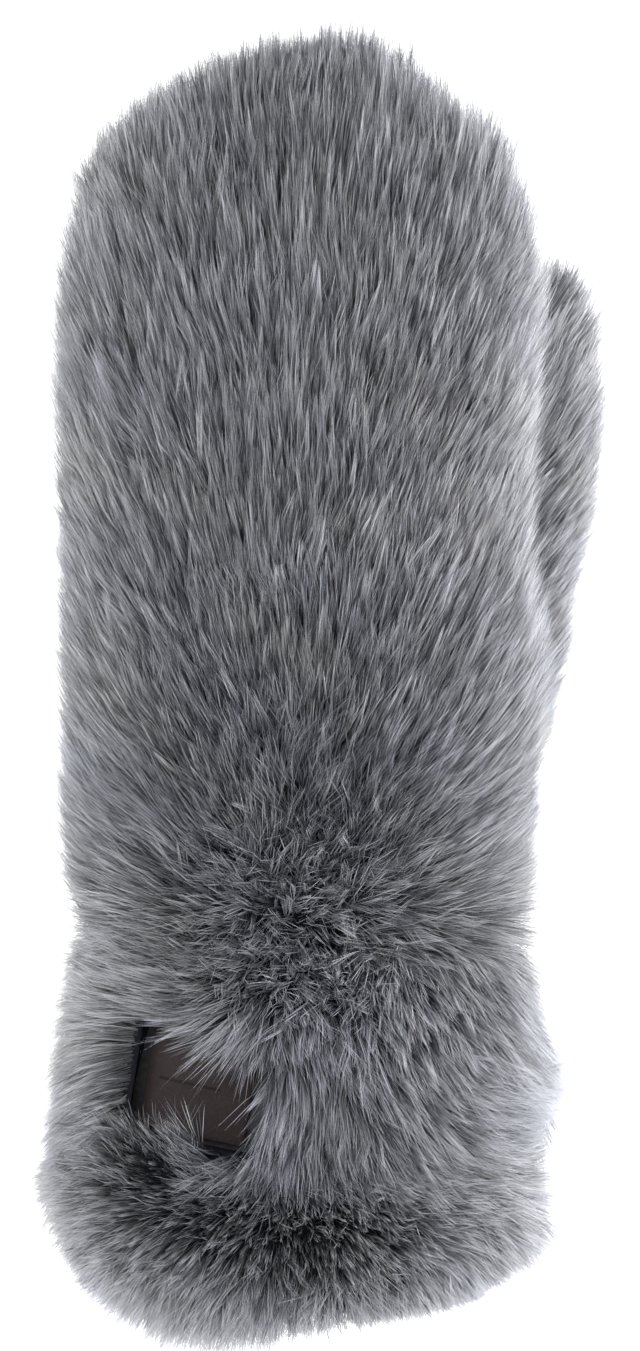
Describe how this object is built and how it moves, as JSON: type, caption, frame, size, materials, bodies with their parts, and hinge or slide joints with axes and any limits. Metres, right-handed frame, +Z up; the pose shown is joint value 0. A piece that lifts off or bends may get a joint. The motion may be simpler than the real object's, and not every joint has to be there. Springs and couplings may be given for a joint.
{
  "type": "mitten",
  "caption": "Shaggy fur mitten with a thumb and a deep fur cuff, hollow and open at the wrist, for keeping a hand warm.",
  "frame": {"origin": "middle of the wrist opening, level with the hem of the cuff", "axes": "+Z up from the cuff to the fingertips, -Y out of the back of the hand, +X to the thumb's side"},
  "size_m": [0.116, 0.094, 0.266],
  "materials": {
    "cloth": "soft knitted backing",
    "fur": "long shaggy pile with dark roots and pale tips",
    "suede": "matt suede"
  },
  "bodies": {
    "root": {"hand_wall": "cloth", "thumb_wall": "cloth", "cuff_wall": "cloth", "hand_fur": "fur", "thumb_fur": "fur", "cuff_fur": "fur", "label": "suede"}
  },
  "joints": []
}
